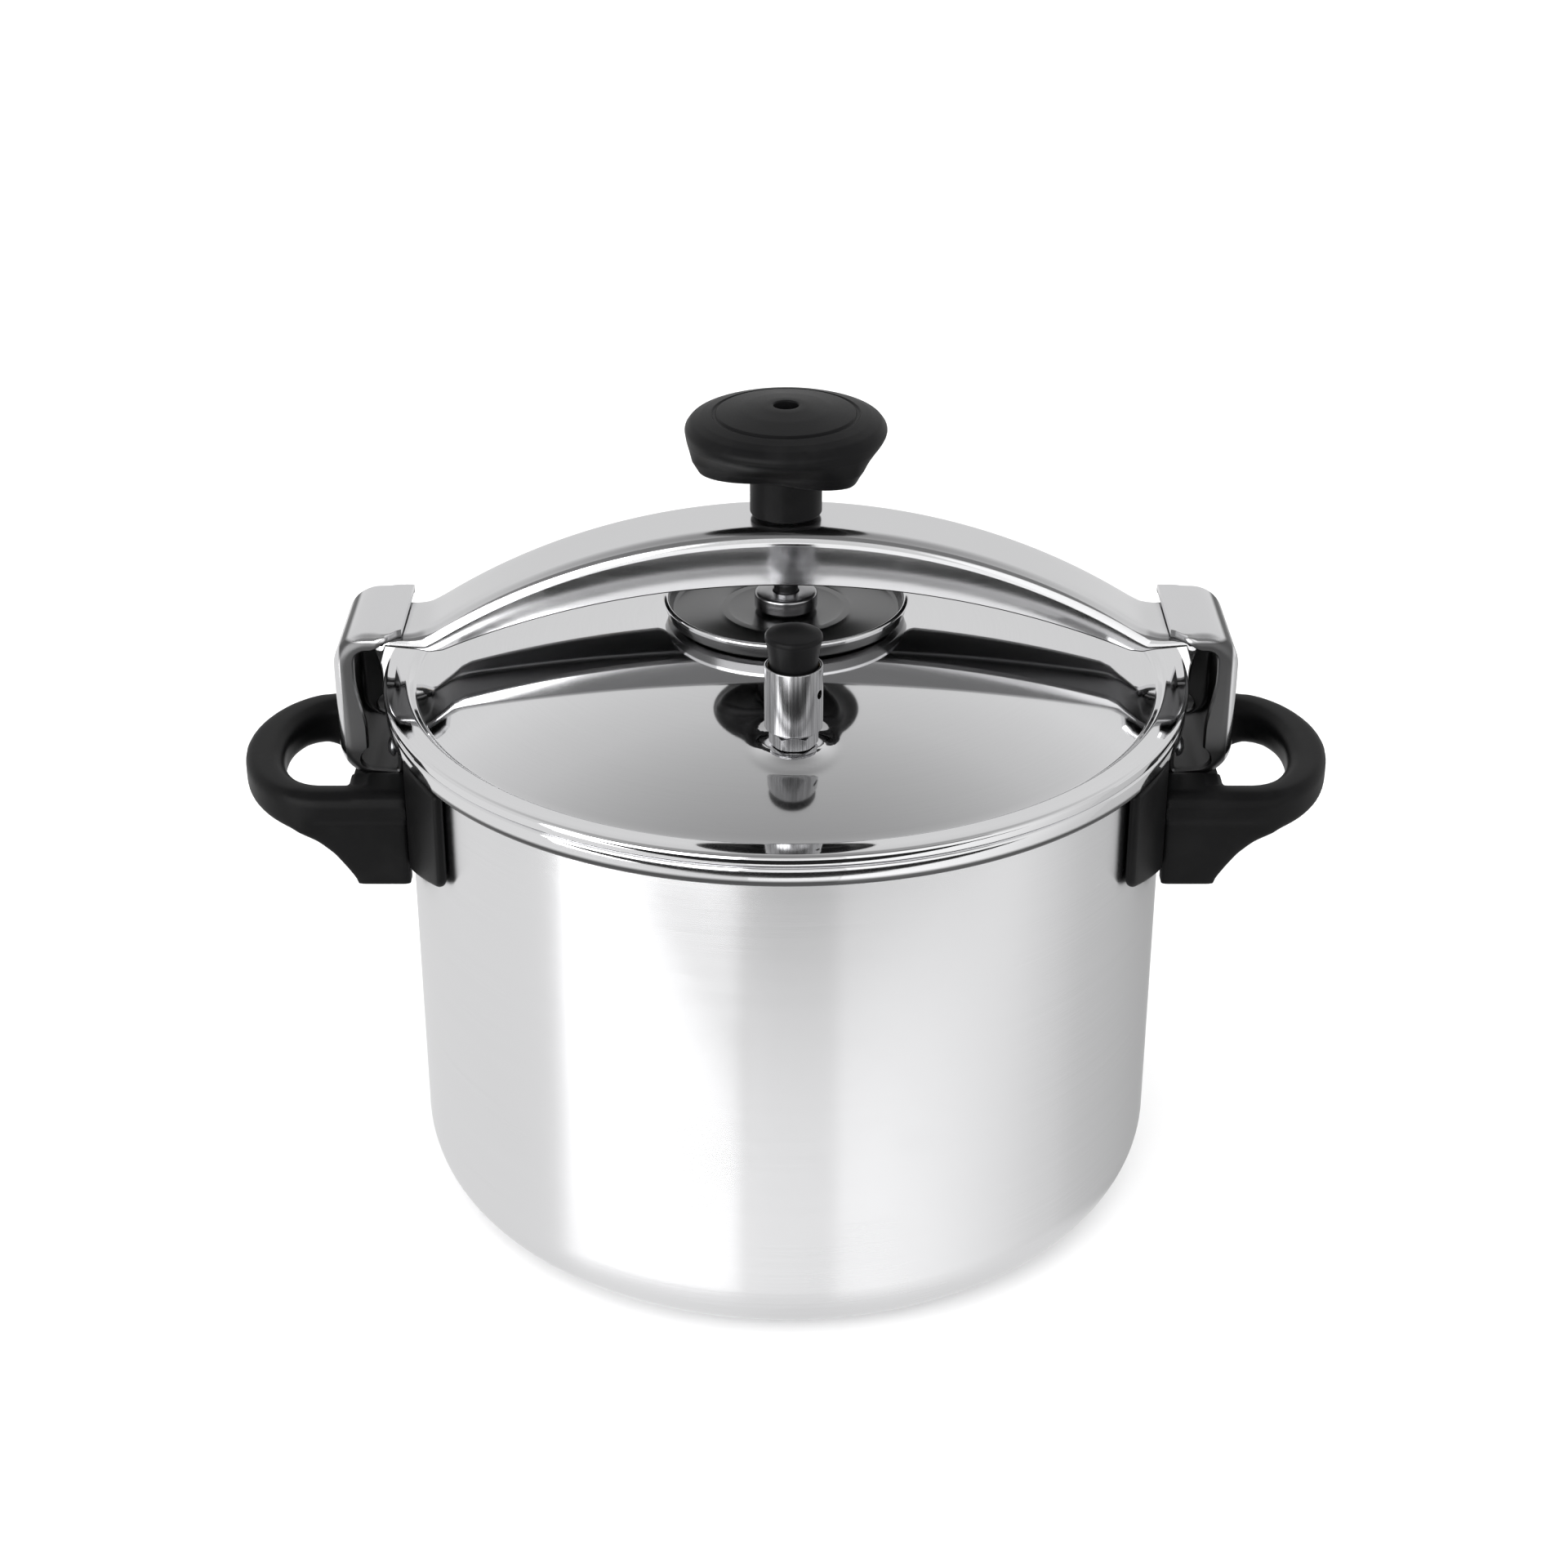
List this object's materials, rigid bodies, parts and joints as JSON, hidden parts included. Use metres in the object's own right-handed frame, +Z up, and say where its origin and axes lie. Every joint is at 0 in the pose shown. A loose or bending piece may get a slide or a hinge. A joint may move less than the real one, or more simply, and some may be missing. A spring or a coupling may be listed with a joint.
{
  "type": "stovetop pressure cooker",
  "caption": "Round metal pressure cooker with looped side handles, hooked brackets, a clamping bridge with a screw knob, and a domed lid with a pull valve.",
  "frame": {"origin": "centre of the underside of the base, at the centre of the bounding box", "axes": "+X from handle to handle, +Z up along the spindle, -Y towards the working valve"},
  "size_m": [0.317, 0.2324, 0.241],
  "materials": {
    "pot_metal": "fine horizontal brushing, polished",
    "base_metal": "machined",
    "lid_mirror": "mirror polished",
    "bridge_metal": "polished sheet, satin top",
    "hook_metal": "polished sheet",
    "cup_metal": "polished dish",
    "valve_metal": "turned and polished",
    "turned_steel": "turned",
    "fastener_steel": "plated",
    "brass": "turned",
    "black_rubber": "matt",
    "handle_black": "satin moulded",
    "knob_black": "satin moulded",
    "valve_black": "satin moulded"
  },
  "bodies": {
    "pot": {"pot_shell": "pot_metal", "base_disc": "base_metal", "hook_bracket_right": "hook_metal", "hook_bracket_left": "hook_metal", "hook_rivet_front_right": "fastener_steel", "hook_rivet_front_left": "fastener_steel", "hook_rivet_rear_right": "fastener_steel", "hook_rivet_rear_left": "fastener_steel", "handle_right": "handle_black", "handle_left": "handle_black", "handle_saddle_right": "handle_black", "handle_saddle_left": "handle_black", "handle_boss_right": "fastener_steel", "handle_boss_left": "fastener_steel", "handle_screw_right": "fastener_steel", "handle_screw_left": "fastener_steel"},
    "lid": {"lid_shell": "lid_mirror", "lid_gasket": "black_rubber", "valve_nozzle": "valve_metal", "valve_washer": "black_rubber", "valve_nut": "fastener_steel", "valve_sleeve": "valve_metal", "valve_bush": "brass", "safety_body": "brass", "safety_washer": "black_rubber", "safety_nut": "fastener_steel"},
    "valve_plunger": {"valve_cap": "valve_black", "valve_needle": "fastener_steel", "valve_spring": "fastener_steel"},
    "safety_plunger": {"safety_pin": "fastener_steel", "safety_spring": "fastener_steel"},
    "bridge": {"bridge": "bridge_metal", "bridge_bush": "fastener_steel"},
    "presser": {"pressure_cup": "cup_metal", "thrust_washer": "brass", "cup_nut": "turned_steel"},
    "screw": {"spindle": "turned_steel", "knob": "knob_black", "knob_insert": "brass", "knob_screw": "fastener_steel"}
  },
  "joints": [
    {"name": "lid_turn", "type": "hinge", "parent": "pot", "child": "lid", "pos_m": [0, 0, 0.16], "axis": [0, 0, 1], "range_deg": [-60, 60]},
    {"name": "valve_lift", "type": "slide", "parent": "lid", "child": "valve_plunger", "axis": [0, 0, 1], "range_m": [0, 0.003], "stiffness_N_per_m": 500, "springref_m": -0.003, "deforming": ["valve_spring"]},
    {"name": "safety_lift", "type": "slide", "parent": "lid", "child": "safety_plunger", "axis": [0, 0, 1], "range_m": [0, 0.0022], "stiffness_N_per_m": 800, "springref_m": -0.003, "deforming": ["safety_spring"]},
    {"name": "bridge_slide", "type": "slide", "parent": "pot", "child": "bridge", "axis": [0, 1, 0], "range_m": [0, 0.06]},
    {"name": "screw_lift", "type": "slide", "parent": "bridge", "child": "presser", "axis": [0, 0, 1], "range_m": [0, 0.00501]},
    {"name": "knob_turn", "type": "hinge", "parent": "presser", "child": "screw", "pos_m": [0, 0, 0.2], "axis": [0, 0, 1], "range_deg": [0, 720]}
  ],
  "couplings": [
    {"joint": "screw_lift", "follows": "knob_turn", "m_per_rad": 0.00039789}
  ]
}
